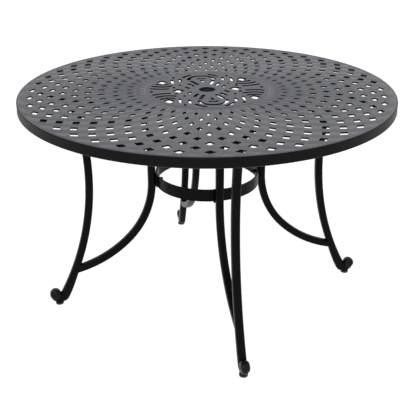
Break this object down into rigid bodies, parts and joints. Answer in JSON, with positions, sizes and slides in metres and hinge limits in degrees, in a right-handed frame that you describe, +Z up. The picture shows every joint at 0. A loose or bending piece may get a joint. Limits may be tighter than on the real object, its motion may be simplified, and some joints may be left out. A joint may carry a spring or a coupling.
{
  "type": "umbrella table",
  "caption": "Round cast-metal patio dining table with a pierced lattice top, an umbrella hole, bowed scroll-footed legs, braces tied by a ring, and levelling feet.",
  "frame": {"origin": "on the floor at the table's vertical axis, under the umbrella hole", "axes": "+Z up; the legs lie along +X, -X, +Y and -Y, with the front leg on -Y"},
  "size_m": [1.1684, 1.1684, 0.717],
  "materials": {
    "cast_powder_coat": "fine-textured charcoal powder coat on cast aluminium",
    "coated_fasteners": "satin black coated steel",
    "zinc_steel": "zinc-plated steel",
    "pad_plastic": "matte black moulded plastic"
  },
  "bodies": {
    "table": {"lattice_field": "cast_powder_coat", "centre_medallion": "cast_powder_coat", "rim_band": "cast_powder_coat", "umbrella_collar": "cast_powder_coat", "ring_hoop": "cast_powder_coat", "ring_studs": "coated_fasteners", "ring_washers": "coated_fasteners", "ring_cap_nuts": "coated_fasteners", "top_bolts": "coated_fasteners", "top_washers": "coated_fasteners", "front_post": "cast_powder_coat", "front_brace": "cast_powder_coat", "front_post_plate": "cast_powder_coat", "front_brace_plate": "cast_powder_coat", "front_ring_saddle": "cast_powder_coat", "front_threaded_insert": "zinc_steel", "right_post": "cast_powder_coat", "right_brace": "cast_powder_coat", "right_post_plate": "cast_powder_coat", "right_brace_plate": "cast_powder_coat", "right_ring_saddle": "cast_powder_coat", "right_threaded_insert": "zinc_steel", "back_post": "cast_powder_coat", "back_brace": "cast_powder_coat", "back_post_plate": "cast_powder_coat", "back_brace_plate": "cast_powder_coat", "back_ring_saddle": "cast_powder_coat", "back_threaded_insert": "zinc_steel", "left_post": "cast_powder_coat", "left_brace": "cast_powder_coat", "left_post_plate": "cast_powder_coat", "left_brace_plate": "cast_powder_coat", "left_ring_saddle": "cast_powder_coat", "left_threaded_insert": "zinc_steel"},
    "front_foot_pad": {"front_leveller_pad": "pad_plastic"},
    "front_foot_stud": {"front_leveller_stud": "zinc_steel"},
    "right_foot_pad": {"right_leveller_pad": "pad_plastic"},
    "right_foot_stud": {"right_leveller_stud": "zinc_steel"},
    "back_foot_pad": {"back_leveller_pad": "pad_plastic"},
    "back_foot_stud": {"back_leveller_stud": "zinc_steel"},
    "left_foot_pad": {"left_leveller_pad": "pad_plastic"},
    "left_foot_stud": {"left_leveller_stud": "zinc_steel"}
  },
  "joints": [
    {"name": "front_foot_height", "type": "slide", "parent": "table", "child": "front_foot_pad", "axis": [0, 0, -1], "range_m": [0, 0.01]},
    {"name": "front_foot_turn", "type": "hinge", "parent": "front_foot_pad", "child": "front_foot_stud", "pos_m": [0, -0.51229, 0.004], "axis": [0, 0, -1], "range_deg": [0, 2880]},
    {"name": "right_foot_height", "type": "slide", "parent": "table", "child": "right_foot_pad", "axis": [0, 0, -1], "range_m": [0, 0.01]},
    {"name": "right_foot_turn", "type": "hinge", "parent": "right_foot_pad", "child": "right_foot_stud", "pos_m": [0.51229, 0, 0.004], "axis": [0, 0, -1], "range_deg": [0, 2880]},
    {"name": "back_foot_height", "type": "slide", "parent": "table", "child": "back_foot_pad", "axis": [0, 0, -1], "range_m": [0, 0.01]},
    {"name": "back_foot_turn", "type": "hinge", "parent": "back_foot_pad", "child": "back_foot_stud", "pos_m": [0, 0.51229, 0.004], "axis": [0, 0, -1], "range_deg": [0, 2880]},
    {"name": "left_foot_height", "type": "slide", "parent": "table", "child": "left_foot_pad", "axis": [0, 0, -1], "range_m": [0, 0.01]},
    {"name": "left_foot_turn", "type": "hinge", "parent": "left_foot_pad", "child": "left_foot_stud", "pos_m": [-0.51229, 0, 0.004], "axis": [0, 0, -1], "range_deg": [0, 2880]}
  ],
  "couplings": [
    {"joint": "front_foot_turn", "follows": "front_foot_height", "rad_per_m": 5026.5},
    {"joint": "right_foot_turn", "follows": "right_foot_height", "rad_per_m": 5026.5},
    {"joint": "back_foot_turn", "follows": "back_foot_height", "rad_per_m": 5026.5},
    {"joint": "left_foot_turn", "follows": "left_foot_height", "rad_per_m": 5026.5}
  ]
}
